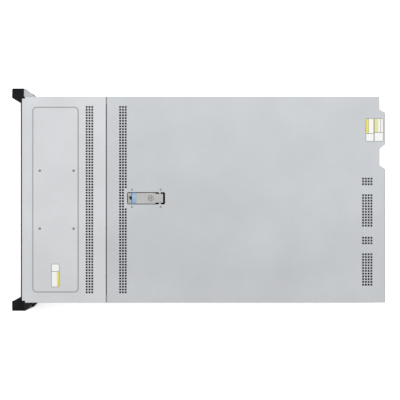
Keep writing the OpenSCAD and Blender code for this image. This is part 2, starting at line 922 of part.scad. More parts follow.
module drive_backplane() {
    color("darkgreen") {
        difference() {
            block(-cage_w / 2, cage_w / 2, cage_back, cage_back + backplane_t, pan_t + 0.5, cage_top);
            for (c = [0:drive_cols - 1], r = [0:drive_rows - 1], s = [-1, 1])
                translate([column_x(c) + s * 34, 0, row_z(r) + carrier_h / 2])
                    block(-11, 11, cage_back - 1, cage_back + 3, -7, 7);
        }
        for (c = [0:drive_cols - 1], r = [0:drive_rows - 1])
            block(column_x(c) - 20, column_x(c) + 20, drive_end + 0.3, cage_back + eps, row_z(r) + 9, row_z(r) + 15);
    }
}

drive_front = bezel_y + carrier_bezel_d + 0.5;
drive_end = drive_front + drive_d;
lever_pivot_x = carrier_w / 2 - 6;
lever_pivot_y = 4;
lever_len = 86;

// Tray with its drive; local frame: middle of the bezel's front edge, underside at zero
module carrier() {
    mid = carrier_h / 2;
    tray_end = drive_end - bezel_y + 2;
    difference() {
        block(-carrier_w / 2, carrier_w / 2, 0, carrier_bezel_d, 0, carrier_h);
        // Recess for the lever, deeper round its hinge
        block(lever_pivot_x - lever_len - 6, lever_pivot_x, -1, 4, mid - carrier_lever_h / 2 - 0.4, mid + carrier_lever_h / 2 + 0.4);
        block(lever_pivot_x - 5, lever_pivot_x + 4, -1, 7, mid - carrier_lever_h / 2 - 0.4, mid + carrier_lever_h / 2 + 0.4);
        // Air slots behind the lever
        for (i = [0:5])
            block(-42 + i * 13, -32 + i * 13, 3, carrier_bezel_d + 1, mid - 5, mid + 5);
    }
    translate([lever_pivot_x, lever_pivot_y, mid - carrier_lever_h / 2 - 1])
        cylinder(r = carrier_pin_r, h = carrier_lever_h + 2);
    block(-carrier_w / 2, carrier_w / 2, carrier_bezel_d - eps, tray_end, 0, 1);
    for (s = [-1, 1])
        block(s > 0 ? carrier_w / 2 - 1.2 : -carrier_w / 2, s > 0 ? carrier_w / 2 : 1.2 - carrier_w / 2,
              carrier_bezel_d - eps, tray_end, 0, 14);
    block(-drive_w / 2, drive_w / 2, drive_front - bezel_y, drive_end - bezel_y, 1, 1 + drive_h);
}

module carrier_lever() {
    mid = carrier_h / 2;
    h = carrier_lever_h;
    translate([0, 0, mid - h / 2])
        difference() {
            union() {
                linear_extrude(h)
                    polygon([
                        [lever_pivot_x - lever_len, 0], [lever_pivot_x, 0], [lever_pivot_x, lever_pivot_y],
                        [lever_pivot_x - 6, 3], [lever_pivot_x - lever_len + 3, 3], [lever_pivot_x - lever_len, 1.5]]);
                translate([lever_pivot_x, lever_pivot_y, 0])
                    cylinder(r = 2.6, h = h);
                linear_extrude(h)
                    translate([lever_pivot_x - 2.6, 0])
                        square([2.6, lever_pivot_y]);
            }
            translate([lever_pivot_x, lever_pivot_y, -1])
                cylinder(r = carrier_pin_r + 0.06, h = h + 2);
            for (i = [0:9])
                block(lever_pivot_x - 74 + i * 6, lever_pivot_x - 70.6 + i * 6, -1, 5, 4, h - 4);
        }
}

module in_bay(i) {
    c = (i - 1) % drive_cols;
    r = floor((i - 1) / drive_cols);
    translate([column_x(c), bezel_y, row_z(r)])
        children();
}

module drive_carrier(i) {
    color([0.16, 0.16, 0.17])
        in_bay(i)
            carrier();
}

module drive_lever(i) {
    color([0.3, 0.3, 0.32])
        in_bay(i)
            carrier_lever();
}

// ---------------------------------------------------------------- cooling

function fan_x(i) = (i - (fan_count + 1) / 2) * fan_pitch;
fan_wall_top = bar_top - bar_h - 2;

module fan_wall() {
    color("silver") {
        along_y(fan_y - 1.2, fan_y)
            difference() {
                translate([-inner_x + wall_t + 0.3, pan_t])
                    square([2 * (inner_x - wall_t - 0.3), 150 - pan_t]);
                for (i = [1:fan_count])
                    translate([fan_x(i), fan_z])
                        circle(r = fan_duct_r);
            }
        // Shelf under the fans
        block(-inner_x + wall_t + 0.3, inner_x - wall_t - 0.3, fan_y - eps, fan_y + fan_d + 4, fan_z - fan_w / 2 - 1.5, fan_z - fan_w / 2);
        on_both_sides()
            block(inner_x - wall_t - 1.8, inner_x - wall_t - 0.3, fan_y - eps, fan_y + fan_d + 4, pan_t, 150);
    }
}

module fan_frames() {
    color([0.12, 0.12, 0.12])
        for (i = [1:fan_count])
            translate([fan_x(i), fan_y, fan_z]) {
                difference() {
                    along_y(0, fan_d)
                        round_rect(fan_w, fan_w, 5);
                    rod_y(fan_duct_r, -1, fan_d + 1);
                    for (x = [-1, 1], z = [-1, 1])
                        translate([x * (fan_w / 2 - 7.5), 0, z * (fan_w / 2 - 7.5)])
                            rod_y(2.2, -1, fan_d + 1);
                }
                // Motor carrier and its struts at the outlet side
                rod_y(hub_r, fan_d - 4, fan_d);
                rod_y(2.5, 6, fan_d - 3);
                for (a = [0:3])
                    rotate([0, a * 90 + 45, 0])
                        block(hub_r - 2, fan_duct_r + 0.5, fan_d - 4, fan_d, -2, 2);
            }
}

module rotor(i) {
    translate([fan_x(i), fan_y, fan_z])
        difference() {
            union() {
                rod_y(hub_r, 3, fan_d - 5);
                for (b = [0:blade_count - 1])
                    rotate([0, b * 360 / blade_count, 0])
                        translate([hub_r - 1, (fan_d - 5 + 3) / 2, 0])
                            rotate([38, 0, 0])
                                translate([0, -15, -0.9])
                                    cube([rotor_r - hub_r, 30, 1.8]);
            }
            rod_y(2.5 + 0.06, 5.5, fan_d);
            rod_y(hub_r - 2, fan_d - 12, fan_d);
        }
}

module fan_rotor(i) {
    color([0.15, 0.15, 0.16])
        rotor(i);
}

// ---------------------------------------------------------------- boards

board_front = fan_y + fan_d + 14;
board_back = rear_y - rear_t - psu_d - 18;
cpu_places = [for (s = [-1, 1]) [s * 98, (board_front + board_back) / 2]];

module motherboard() {
    color("darkgreen") {
        block(-205, 205, board_front, board_back, board_z, board_z + board_t);
        // Tongue beside the power supplies that carries the rear sockets
        block(-216, psu_x(psu_count) - psu_pitch / 2 - 3, board_back - eps, rear_y - rear_t - 0.3, board_z, board_z + board_t);
        for (p = port_places)
            block(p[0] + port_gap, p[0] + p[1] - port_gap, rear_y - rear_t - 18, rear_y - 0.5, port_z - eps, port_z + p[2] - port_gap);
        for (x = [-195, -65, 65, 195], y = [board_front + 8, board_back - 8])
            translate([x, y, pan_t])
                cylinder(r = 3, h = board_z - pan_t + eps, $fn = 6);
    }
}

module cpu_heatsinks() {
    z0 = board_z + board_t + 6;
    color("lightgray")
        for (p = cpu_places)
            translate([p[0], p[1], 0]) {
                block(-38, 38, -52, 52, z0 - 6, z0 + 5);
                for (i = [0:18])
                    block(-38 + i * 4.2, -37.4 + i * 4.2, -52, 52, z0 + 5 - eps, z0 + 48);
            }
}

module memory_modules() {
    z0 = board_z + board_t;
    color([0.1, 0.3, 0.12])
        for (p = cpu_places, s = [-1, 1], i = [0:3])
            translate([p[0] + s * (48 + i * 9.5), p[1], 0]) {
                block(-3, 3, -71, 71, z0, z0 + 6);
                block(-0.7, 0.7, -66.7, 66.7, z0 + 6 - eps, z0 + 33);
            }
}

card_back = rear_y - rear_t;
card_front = card_back - card_d;
module card_board() {
    color("darkgreen") {
        block(-216, 216, card_front - 20, card_back - 2, card_deck_z - 4, card_deck_z - 2);
        for (i = [1:card_count])
            block(card_x(i) - 3.5, card_x(i) + 3.5, card_back - 150, card_back - 60, card_deck_z - 2 - eps, card_deck_z + 7);
        // Posts that carry the board over the power supplies
        for (x = [-211, 211])
            block(x - 3, x + 3, card_front - 18, card_front - 12, pan_t, card_deck_z - 4 + eps);
        for (x = [0, 100, 200], y = [card_back - 40, card_back - 150])
            translate([x, y, psu_roof_z + psu_sheet])
                cylinder(r = 3, h = card_deck_z - 4 - psu_roof_z - psu_sheet + eps, $fn = 6);
    }
}

// Double-width card with an open duct full of fins and a vented end plate
module accelerator_cards() {
    z0 = card_deck_z + 7;
    z1 = card_deck_z + card_h;
    color([0.2, 0.2, 0.21])
        for (i = [1:card_count])
            translate([card_x(i), 0, 0]) {
                difference() {
                    block(-card_w / 2, card_w / 2, card_front, card_back, z0, z1);
                    block(-card_w / 2 + 2, card_w / 2 - 2, card_front - 1, card_back + 1, z0 + 3, z1 - 3);
                }
                for (f = [0:4])
                    block(-card_w / 2 + 5 + f * 6.6, -card_w / 2 + 5.8 + f * 6.6, card_front + 12, card_back - 12, z0 + 3 - eps, z1 - 3 + eps);
            }
}

// ---------------------------------------------------------------- power

module psu_cage() {
    x0 = psu_bank_x - psu_count * psu_pitch - psu_sheet;
    y0 = rear_y - psu_d - 4;
    color("lightgray") {
        for (z = [pan_t, psu_roof_z])
            block(x0, psu_bank_x, y0, rear_y - rear_t, z, z + psu_sheet);
        for (i = [0:psu_count])
            block(x0 + i * psu_pitch, x0 + i * psu_pitch + psu_sheet, y0, rear_y - rear_t, pan_t, psu_roof_z + psu_sheet);
        // Board with the power sockets at the inner end
        block(x0, psu_bank_x, y0 - board_t, y0 + eps, pan_t, psu_roof_z + psu_sheet);
    }
}

psu_out = 10.8;
module power_supply(i) {
    x = psu_x(i);
    y0 = rear_y - psu_d;
    color("gainsboro")
        difference() {
            union() {
                block(x - psu_w / 2, x + psu_w / 2, y0, rear_y, psu_floor, psu_top);
                // Pull handle
                for (s = [0, 1])
                    block(x - 22 + s * 37, x - 19 + s * 37, rear_y - eps, rear_y + psu_out, psu_floor + 24, psu_floor + 32);
                block(x - 22, x + 18, rear_y + psu_out - 3, rear_y + psu_out, psu_floor + 24, psu_floor + 32);
            }
            // Inlet socket
            block(x - 31, x - 5, rear_y - 14, rear_y + 1, psu_floor + 2, psu_floor + 20);
            // Fan opening
            for (r = [0:3], c = [0:4])
                block(x + 3 + c * 4.6, x + 6.6 + c * 4.6, rear_y - 8, rear_y + 1, psu_floor + 3 + r * 4.8, psu_floor + 6.6 + r * 4.8);
            difference() {
                block(x + 26.4, x + psu_w / 2 - 2, rear_y - 9, rear_y + 1, psu_floor + 7, psu_floor + 31);
                // Pin that the latch turns on
                translate([x + psu_latch_x, rear_y - 5, psu_floor])
                    cylinder(r = 1, h = psu_h);
            }
        }
}

psu_latch_x = 30.3;

module psu_latch(i) {
    x = psu_x(i) + psu_latch_x;
    color("mediumseagreen")
        difference() {
            union() {
                block(x - 1.6, x + 1.6, rear_y - 5, rear_y + 5, psu_floor + 8, psu_floor + 30);
                translate([x, rear_y - 5, psu_floor + 8])
                    cylinder(r = 2, h = 22);
            }
            translate([x, rear_y - 5, psu_floor])
                cylinder(r = 1 + pin_clear, h = psu_h);
        }
}

base_pan();
side_wall_left();
side_wall_right();
rear_panel();
cross_bar();
front_cover();
front_cover_screws();
rear_lid();
latch_housing();
latch_rivets();
latch_lever();
latch_hinge_pin();
latch_touch_button();
latch_lock();
ear_bracket_left();
ear_bracket_right();
ear_handle_left();
ear_handle_right();
front_grille();
control_panel();
power_button();
locate_button();
drive_cage();
drive_backplane();
fan_wall();
fan_frames();
motherboard();
cpu_heatsinks();
memory_modules();
card_board();
accelerator_cards();
psu_cage();
for (i = [1:8]) {
    drive_carrier(i);
    drive_lever(i);
}
for (i = [1:3])
    fan_rotor(i);
for (i = [1:4]) {
    power_supply(i);
    psu_latch(i);
}
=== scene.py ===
# %% [markdown]
# # Dressing a 4U accelerator server
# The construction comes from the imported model: sheet-metal covers, walls, ears, drives, fans, boards and
# power supplies, each already at its real size and on its own moving body. This lesson gives every
# surface its finish and adds the small pieces that make a machine believable: labels, screws, chips,
# contacts and lenses. It starts by loading the model, which stays as it is.

# %% Load the frame
import math

import bmesh
import bpy
from mathutils import Matrix, Vector


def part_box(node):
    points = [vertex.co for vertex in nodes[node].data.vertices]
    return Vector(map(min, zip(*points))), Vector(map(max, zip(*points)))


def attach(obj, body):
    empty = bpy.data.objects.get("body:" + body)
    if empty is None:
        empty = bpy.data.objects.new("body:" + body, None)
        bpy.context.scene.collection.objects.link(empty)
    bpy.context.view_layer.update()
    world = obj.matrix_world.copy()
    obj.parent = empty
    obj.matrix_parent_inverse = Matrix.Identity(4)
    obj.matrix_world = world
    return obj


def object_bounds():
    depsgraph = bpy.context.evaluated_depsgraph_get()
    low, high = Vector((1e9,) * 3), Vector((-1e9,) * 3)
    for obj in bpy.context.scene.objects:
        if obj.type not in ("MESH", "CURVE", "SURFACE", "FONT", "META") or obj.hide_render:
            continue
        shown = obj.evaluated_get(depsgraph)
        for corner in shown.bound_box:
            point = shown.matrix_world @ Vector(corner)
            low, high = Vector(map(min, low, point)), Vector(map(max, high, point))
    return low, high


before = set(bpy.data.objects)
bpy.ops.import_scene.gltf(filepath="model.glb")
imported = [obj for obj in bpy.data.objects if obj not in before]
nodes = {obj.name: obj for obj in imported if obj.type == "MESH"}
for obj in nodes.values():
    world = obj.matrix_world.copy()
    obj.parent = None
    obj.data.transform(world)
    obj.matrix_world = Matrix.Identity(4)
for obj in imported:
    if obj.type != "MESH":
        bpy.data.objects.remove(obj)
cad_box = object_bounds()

MM = 0.001
lid_low, lid_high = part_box("rear_lid")
cover_low, cover_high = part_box("front_cover")
print("nodes", len(nodes), "size", [round(v / MM, 1) for v in cad_box[1] - cad_box[0]])


def place_in_scene(name, data):
    """New object in the scene, at the origin."""
    item = bpy.data.objects.new(name, data)
    bpy.context.scene.collection.objects.link(item)
    return item


def middle_of(node):
    """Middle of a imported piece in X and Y, in millimetres."""
    low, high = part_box(node)
    return (low.x + high.x) / MM / 2, (low.y + high.y) / MM / 2


# %% [markdown]
# ## Shader maths as plain expressions
# A material that varies over a surface is a small calculation. Clicking Math nodes together hides it, so
# a socket is wrapped in a class whose operators add the Math nodes: `1 - mask` then reads as it works.
# Colours and vectors don't go through Math nodes, which would turn them grey, but through Mix and
# Vector Math. Every other node comes from one method.


# %% A socket that can be calculated with
class Field:
    """One output of a node, for use in an expression."""

    def __init__(self, maker, socket):
        self.maker = maker
        self.socket = socket

    def math(self, operation, first, second=0.0):
        return self.maker.node("ShaderNodeMath", {"operation": operation}, {0: first, 1: second})

    def __add__(self, other):
        return self.math("ADD", self, other)

    def __radd__(self, other):
        return self.math("ADD", other, self)

    def __sub__(self, other):
        return self.math("SUBTRACT", self, other)

    def __rsub__(self, other):
        return self.math("SUBTRACT", other, self)

    def __mul__(self, other):
        return self.math("MULTIPLY", self, other)

    def __rmul__(self, other):
        return self.math("MULTIPLY", other, self)

    def __truediv__(self, other):
        return self.math("DIVIDE", self, other)

    def __mod__(self, other):
        return self.math("FLOORED_MODULO", self, other)

    def __lt__(self, other):
        return self.math("LESS_THAN", self, other)

    def __gt__(self, other):
        return self.math("GREATER_THAN", self, other)

    def __abs__(self):
        return self.math("ABSOLUTE", self)


# %% One maker for all node trees
class Maker:
    """Anything that has a node tree to fill."""

    def node(self, kind, settings, values, output=0):
        made = self.tree.nodes.new(kind)
        stops = settings.get("stops")
        for key, value in settings.items():
            if key != "stops":
                setattr(made, key, value)
        if stops:
            ramp = made.color_ramp.elements
            while len(ramp) < len(stops):
                ramp.new(0.5)
            for element, (place, tone) in zip(ramp, stops):
                element.position = place
                element.color = (tone, tone, tone, 1)
        for key, value in values.items():
            if isinstance(value, Field):
                self.tree.links.new(value.socket, made.inputs[key])
            elif isinstance(value, tuple) and len(value) == 3 and made.inputs[key].type == "RGBA":
                made.inputs[key].default_value = (*value, 1)
            else:
                made.inputs[key].default_value = value
        return Field(self, made.outputs[output])


# %% Materials
class Finish(Maker):
    """A material under construction."""

    def __init__(self, name):
        self.material = bpy.data.materials.new(name)
        self.material.use_nodes = True
        self.tree = self.material.node_tree
        self.tree.nodes.clear()

    def place(self, stretch=(1, 1, 1)):
        """Position in the object's own metres, stretched along its axes."""
        point = self.node("ShaderNodeTexCoord", {}, {}, "Object")
        return self.node("ShaderNodeMapping", {}, {"Vector": point, "Scale": stretch})

    def axis(self, name):
        """One coordinate of a point, in millimetres."""
        point = self.node("ShaderNodeTexCoord", {}, {}, "Object")
        return self.node("ShaderNodeSeparateXYZ", {}, {"Vector": point}, name) * 1000

    def noise(self, scale, detail=3.0, stretch=(1, 1, 1), rough=0.5):
        values = {"Vector": self.place(stretch), "Scale": scale, "Detail": detail, "Roughness": rough}
        return self.node("ShaderNodeTexNoise", {}, values, "Fac")

    def ramp(self, field, *stops):
        return self.node("ShaderNodeValToRGB", {"stops": stops}, {"Fac": field}, "Color")

    def mix(self, factor, first, second):
        return self.node("ShaderNodeMix", {"data_type": "RGBA"}, {0: factor, 6: first, 7: second}, 2)

    def math_max(self, first, second):
        """The larger of two numbers, and of two masks their union."""
        return self.node("ShaderNodeMath", {"operation": "MAXIMUM"}, {0: first, 1: second})

    def math_min(self, first, second):
        """The smaller of two numbers."""
        return self.node("ShaderNodeMath", {"operation": "MINIMUM"}, {0: first, 1: second})

    def length(self, first, second):
        """Length of the diagonal over two sides."""
        return self.node("ShaderNodeMath", {"operation": "SQRT"}, {0: first * first + second * second})

    def facing_up(self):
        """1 where a face looks up, 0 on walls and undersides."""
        normal = self.node("ShaderNodeNewGeometry", {}, {}, "True Normal")
        return self.node("ShaderNodeSeparateXYZ", {}, {"Vector": normal}, "Z") > 0.5

    def near_edge(self, reach):
        """1 on the rims of holes and edges, within about a reach in millimetres, else 0."""
        flat = self.node("ShaderNodeNewGeometry", {}, {}, "True Normal")
        rolled = self.node("ShaderNodeBevel", {"samples": 6}, {"Radius": reach * MM})
        same = self.node("ShaderNodeVectorMath", {"operation": "DOT_PRODUCT"}, {0: flat, 1: rolled}, "Value")
        return self.node("ShaderNodeClamp", {}, {"Value": (1 - same) * 30})

    def rounded_edge(self, middle_x, middle_y, half_w, half_d, radius):
        """Distance to the outline of a rounded rectangle, in millimetres, negative inside."""
        beyond_x = abs(self.axis("X") - middle_x) - (half_w - radius)
        beyond_y = abs(self.axis("Y") - middle_y) - (half_d - radius)
        outer = self.length(self.math_max(beyond_x, 0.0), self.math_max(beyond_y, 0.0))
        return outer + self.math_min(self.math_max(beyond_x, beyond_y), 0.0) - radius

    def bump(self, height, strength, distance):
        values = {"Height": height, "Strength": strength, "Distance": distance}
        return self.node("ShaderNodeBump", {}, values)

    def done(self, **values):
        """Connects the surface. Names are written with underscores: Base_Color is Base Color."""
        values = {key.replace("_", " "): value for key, value in values.items()}
        surface = self.node("ShaderNodeBsdfPrincipled", {}, values)
        output = self.tree.nodes.new("ShaderNodeOutputMaterial")
        self.tree.links.new(surface.socket, output.inputs["Surface"])
        return self.material


# %% [markdown]
# ## Sheet metal
# The covers are zinc-coated steel. Up close such a sheet has a very fine rolled grain along its length,
# a faint cloudiness where the coating froze, and small scuffs. An image texture could carry that, but it
# would stretch over the big lid, so stretched noise is used: one fine layer for the grain, which bends
# the light a little, and one broad layer that shifts the tone and the roughness.
#
# Some marks are painted shade. The walls of the vents and the underside of each cover are painted near
# black, and a near-black ring is painted on the rim of each vent; the rims are found by comparing the true
# normal with a rounded one. A dark line is painted along the cut ends, and a fine dark line follows the
# foot of the raised panel's pressed step, found by the distance to a rounded rectangle.


# %% Zinc-coated sheet
HOLE_SHADE = (0.01, 0.01, 0.011)
RIM_SHADE = (0.004, 0.004, 0.005)
SEAM_SHADE = (0.06, 0.06, 0.065)
PRESS_SHADE = (0.16, 0.165, 0.17)
RIM_REACH = 0.75
SEAM_REACH = 0.9
INSIDE_EDGE = 1.5
PRESS_REACH = 1.7


def zinc_sheet(name, tone, shine=0.42, grain=(1, 0.06, 1), cloud=0.05, cover=None, press=None):
    """Zinc-coated sheet. A cover is given by its box, a pressed step by its rounded rectangle."""
    made = Finish(name)
    fine = made.noise(2600, 2, grain)
    broad = made.noise(9, 4)
    speck = made.noise(240, 3)
    dark = tuple(part * (1 - cloud) for part in tone)
    light = tuple(min(1, part * (1 + cloud)) for part in tone)
    colour = made.mix(made.ramp(broad * 0.7 + speck * 0.3, (0.3, 0), (0.7, 1)), dark, light)
    if cover:
        # Painted shade: the walls of holes and the underside are painted near black, inside the cover's own
        # edges
        low, high = cover
        middle_y, half_d = (low.y + high.y) / MM / 2, (high.y - low.y) / MM / 2
        rim = made.rounded_edge(0, middle_y, high.x / MM, half_d, 1.0)
        colour = made.mix((rim < -INSIDE_EDGE) * (1 - made.facing_up()), colour, HOLE_SHADE)
        # Painted shade: a near-black ring on the upper rim of each hole
        colour = made.mix(made.near_edge(RIM_REACH) * made.facing_up(), colour, RIM_SHADE)
        # Painted shade: a dark line on the top face along the cut ends, at the seam and at the rear
        ends = abs(abs(made.axis("Y") - middle_y) - half_d) < SEAM_REACH
        colour = made.mix(ends * made.facing_up() * 0.75, colour, SEAM_SHADE)
    if press:
        # Painted shade: a fine dark line along the foot of the raised panel's step
        step = abs(made.rounded_edge(*press) - 0.4) / PRESS_REACH
        line = made.node("ShaderNodeClamp", {}, {"Value": 1 - step})
        colour = made.mix(line * 0.75, colour, PRESS_SHADE)
    rough = shine + broad * 0.08 + fine * 0.06
    normal = made.bump(fine, 0.10, 0.00005)
    return made.done(Base_Color=colour, Metallic=0.88, Roughness=rough, Normal=normal)


# Raised panel of the front cover: middle in X and Y, half its width and depth, corner radius
RAISED_PANEL = (0, cover_low.y / MM + 73.2, 200, 48.8, 8)
lid_steel = zinc_sheet("lid_steel", (0.445, 0.458, 0.475), cover=(lid_low, lid_high))
front_steel = zinc_sheet("front_steel", (0.51, 0.522, 0.535), cover=(cover_low, cover_high),
                         press=RAISED_PANEL)
inner_steel = zinc_sheet("inner_steel", (0.40, 0.41, 0.42), 0.36, (0.06, 1, 1), 0.10)
# Painted shade: the inner cages get a much darker copy of the zinc sheet
shaded_cage_steel = zinc_sheet("shaded_cage_steel", (0.20, 0.205, 0.21), 0.40, (0.06, 1, 1), 0.12)
psu_steel = zinc_sheet("psu_steel", (0.44, 0.45, 0.46), 0.3, (1, 0.05, 1), 0.08)
print("steel finishes:", [item.name for item in bpy.data.materials if "steel" in item.name])


# %% [markdown]
# ## Brushed, coated and moulded surfaces
# The lever is satin steel, brushed across. The lock in it is turned, so its hollow and its groove are
# rings round its own middle, painted dark as painted shade, and the lever is painted darker as shade in
# a disc round the lock. The latch's housing is bright where it meets the lid and dark in its
# depth, where no light reaches. The handles are moulded in black plastic with a fine leather grain,
# and the right bracket and the grille are powder-coated: that finish flows a little before it sets,
# which leaves a soft orange-peel relief. Each is a function of its colour, so that a second piece in
# the same finish costs one line.


# %% Satin metal, powder coat and mouldings
lock_middle = middle_of("latch_lock")
GROOVE_SHADE = (0.02, 0.02, 0.02)
DEPTH_DARK = (0.012, 0.012, 0.013)


def satin_metal(name, tone, shine=0.3, brush=(1, 0.03, 1), metallic=1.0, rings=(), dark_below=None):
    """Brushed metal. Rings are (from, to, strength): radii round the lock's middle, in millimetres, painted
    dark as painted shade.
    """
    made = Finish(name)
    lines = made.noise(1500, 2, brush)
    patches = made.noise(30, 3)
    dark = tuple(part * 0.86 for part in tone)
    colour = made.mix(made.ramp(lines * 0.6 + patches * 0.4, (0.35, 0), (0.65, 1)), dark, tone)
    # Painted shade: dark rings round the lock's middle
    for start, end, strength in rings:
        out = made.length(made.axis("X") - lock_middle[0], made.axis("Y") - lock_middle[1])
        colour = made.mix((out > start) * (out < end) * strength, colour, GROOVE_SHADE)
    if dark_below is not None:
        colour = made.mix(made.axis("Z") < dark_below, colour, DEPTH_DARK)
    rough = shine + lines * 0.16
    normal = made.bump(lines, 0.16, 0.00004)
    return made.done(Base_Color=colour, Metallic=metallic, Roughness=rough, Normal=normal)


def powder_coat(name, tone, shine=0.5, gloss=0.15):
    """Baked powder with its orange-peel relief."""
    made = Finish(name)
    peel = made.noise(900, 2)
    dust = made.noise(14, 5)
    light = tuple(part * 1.7 + 0.004 for part in tone)
    colour = made.mix(made.ramp(dust, (0.4, 0), (0.75, 1)), tone, light)
    return made.done(Base_Color=colour, Roughness=shine + dust * 0.12, Specular_IOR_Level=gloss,
                     Normal=made.bump(peel, 0.25, 0.0001))


def moulding(name, tone, shine=0.42, grain=1400, gloss=0.3):
    """Plastic with the fine grain of its mould."""
    made = Finish(name)
    skin = made.node("ShaderNodeTexVoronoi", {}, {"Vector": made.place(), "Scale": grain}, "Distance")
    rub = made.noise(22, 4)
    light = tuple(part * 1.5 + 0.006 for part in tone)
    colour = made.mix(made.ramp(rub, (0.45, 0), (0.8, 1)), tone, light)
    return made.done(Base_Color=colour, Roughness=shine + rub * 0.14, Specular_IOR_Level=gloss,
                     Normal=made.bump(skin, 0.22, 0.00012))


lever_steel = satin_metal("lever_steel", (0.49, 0.49, 0.485), 0.26, (0.04, 1, 1), rings=[(0, 6.9, 0.45)])
pin_steel = satin_metal("pin_steel", (0.30, 0.30, 0.31), 0.22)
lock_nickel = satin_metal("lock_nickel", (0.46, 0.455, 0.44), 0.2, (1, 1, 0.05),
                          rings=[(0, 1.3, 0.9), (4.6, 5.2, 0.5)])
housing_steel = satin_metal("housing_steel", (0.40, 0.40, 0.40), 0.3, (0.04, 1, 1),
                            dark_below=lid_high.z / MM - 1)
fin_aluminium = satin_metal("fin_aluminium", (0.78, 0.79, 0.80), 0.3, (1, 1, 0.05))
card_aluminium = satin_metal("card_aluminium", (0.10, 0.105, 0.11), 0.36, (0.05, 1, 1), 0.9)
black_coat = powder_coat("black_coat", (0.006, 0.006, 0.007))
black_moulding = moulding("black_moulding", (0.004, 0.004, 0.005), 0.5, 1400, 0.08)
carrier_black = moulding("carrier_black", (0.016, 0.016, 0.018), 0.38, 1800)
lever_grey = moulding("lever_grey", (0.075, 0.078, 0.085), 0.36, 1800)
fan_black = moulding("fan_black", (0.014, 0.014, 0.015), 0.34, 1100)
rotor_black = moulding("rotor_black", (0.022, 0.022, 0.024), 0.28, 900)
touch_blue = moulding("touch_blue", (0.19, 0.30, 0.43), 0.34, 1600)
touch_green = moulding("touch_green", (0.05, 0.34, 0.14), 0.34, 1600)
button_grey = moulding("button_grey", (0.11, 0.115, 0.125), 0.3, 1800)
print("materials so far, with the frame's own:", len(bpy.data.materials))


# %% [markdown]
# ## Circuit boards
# Solder mask lies over copper, so the tracks show as a slightly lighter green. A Voronoi cell pattern
# read as city blocks gives straight runs that turn at right angles, and small dots stand for the vias.


# %% Board with tracks under green solder mask
BARE_COPPER = (0.55, 0.50, 0.36)


def circuit_board(name, mask, track):
    """Green board with lighter tracks and tinned vias."""
    made = Finish(name)
    cells = {"distance": "MANHATTAN", "feature": "F1"}
    near = made.node("ShaderNodeTexVoronoi", cells, {"Vector": made.place(), "Scale": 95.0}, "Distance")
    runs = (near * 14.0) % 1.0
    copper = made.ramp(runs, (0.42, 0), (0.5, 1), (0.58, 0))
    via_cells = made.node("ShaderNodeTexVoronoi", {}, {"Vector": made.place(), "Scale": 260.0}, "Distance")
    vias = via_cells < 0.16
    colour = made.mix(copper, mask, track)
    colour = made.mix(vias * 0.8, colour, BARE_COPPER)
    relief = copper * 0.6 + vias
    return made.done(Base_Color=colour, Roughness=0.32 - copper * 0.06, Coat_Weight=0.25,
                     Normal=made.bump(relief, 0.35, 0.00008))


board_green = circuit_board("board_green", (0.006, 0.060, 0.026), (0.014, 0.120, 0.050))
memory_green = circuit_board("memory_green", (0.008, 0.075, 0.030), (0.02, 0.14, 0.06))

# %% [markdown]
# ## Who wears what
# The imported pieces keep their shapes and only get a finish. Outer walls, inner cages and the rear panel
# are the same zinc sheet, lighter outside than inside, because the inside is seen through small holes
# and should stay calm: the inner cages wear a much darker copy of the sheet as painted shade. One of the
# two ears is bare and the other is coated black.


# %% Give every imported piece its finish
def dress(finish, *names):
    """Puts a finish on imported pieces, by name or by the start of a name that ends with an underscore."""
    for name in names:
        for key, item in nodes.items():
            if key == name or (name.endswith("_") and key.startswith(name)):
                item.data.materials.clear()
                item.data.materials.append(finish)


dress(front_steel, "front_cover")
dress(lid_steel, "rear_lid")
dress(inner_steel, "base_pan", "side_wall_left", "side_wall_right", "rear_panel", "ear_bracket_left")
dress(shaded_cage_steel, "cross_bar", "drive_cage", "fan_wall", "psu_cage")
dress(housing_steel, "latch_housing")
dress(pin_steel, "front_cover_screws", "latch_rivets", "latch_hinge_pin")
dress(lever_steel, "latch_lever")
dress(lock_nickel, "latch_lock")
dress(touch_blue, "latch_touch_button")
dress(black_coat, "ear_bracket_right", "front_grille")
dress(black_moulding, "ear_handle_left", "ear_handle_right", "control_panel")
dress(button_grey, "power_button", "locate_button")
dress(board_green, "drive_backplane", "motherboard", "card_board")
dress(fan_black, "fan_frames")
dress(rotor_black, "fan_rotor_")
dress(fin_aluminium, "cpu_heatsinks")
dress(memory_green, "memory_modules")
dress(card_aluminium, "accelerator_cards")
dress(carrier_black, "drive_carrier_")
dress(lever_grey, "carrier_lever_")
dress(psu_steel, "power_supply_")
dress(touch_green, "psu_latch_")
bare = [name for name, item in nodes.items() if not item.data.materials]
print("pieces without a finish:", bare)

# %% [markdown]
# ## Labels
# A printed label is a thin sheet with rounded corners. It could be painted into the lid's material, but
# a real label has an edge that catches light, so each is its own thin solid. The bands are plain colour,
# placed by position, and carry no words or signs.


# %% Rounded sheet
def rounded_outline(width, depth, radius, steps=5):
    """Points round a rectangle with rounded corners."""
    corners = [(1, 1, 0), (-1, 1, 90), (-1, -1, 180), (1, -1, 270)]
    points = []
    for side_x, side_y, start in corners:
        for step in range(steps + 1):
            angle = math.radians(start + 90 * step / steps)
            points.append((side_x * (width / 2 - radius) + radius * math.cos(angle),
                           side_y * (depth / 2 - radius) + radius * math.sin(angle)))
    return points


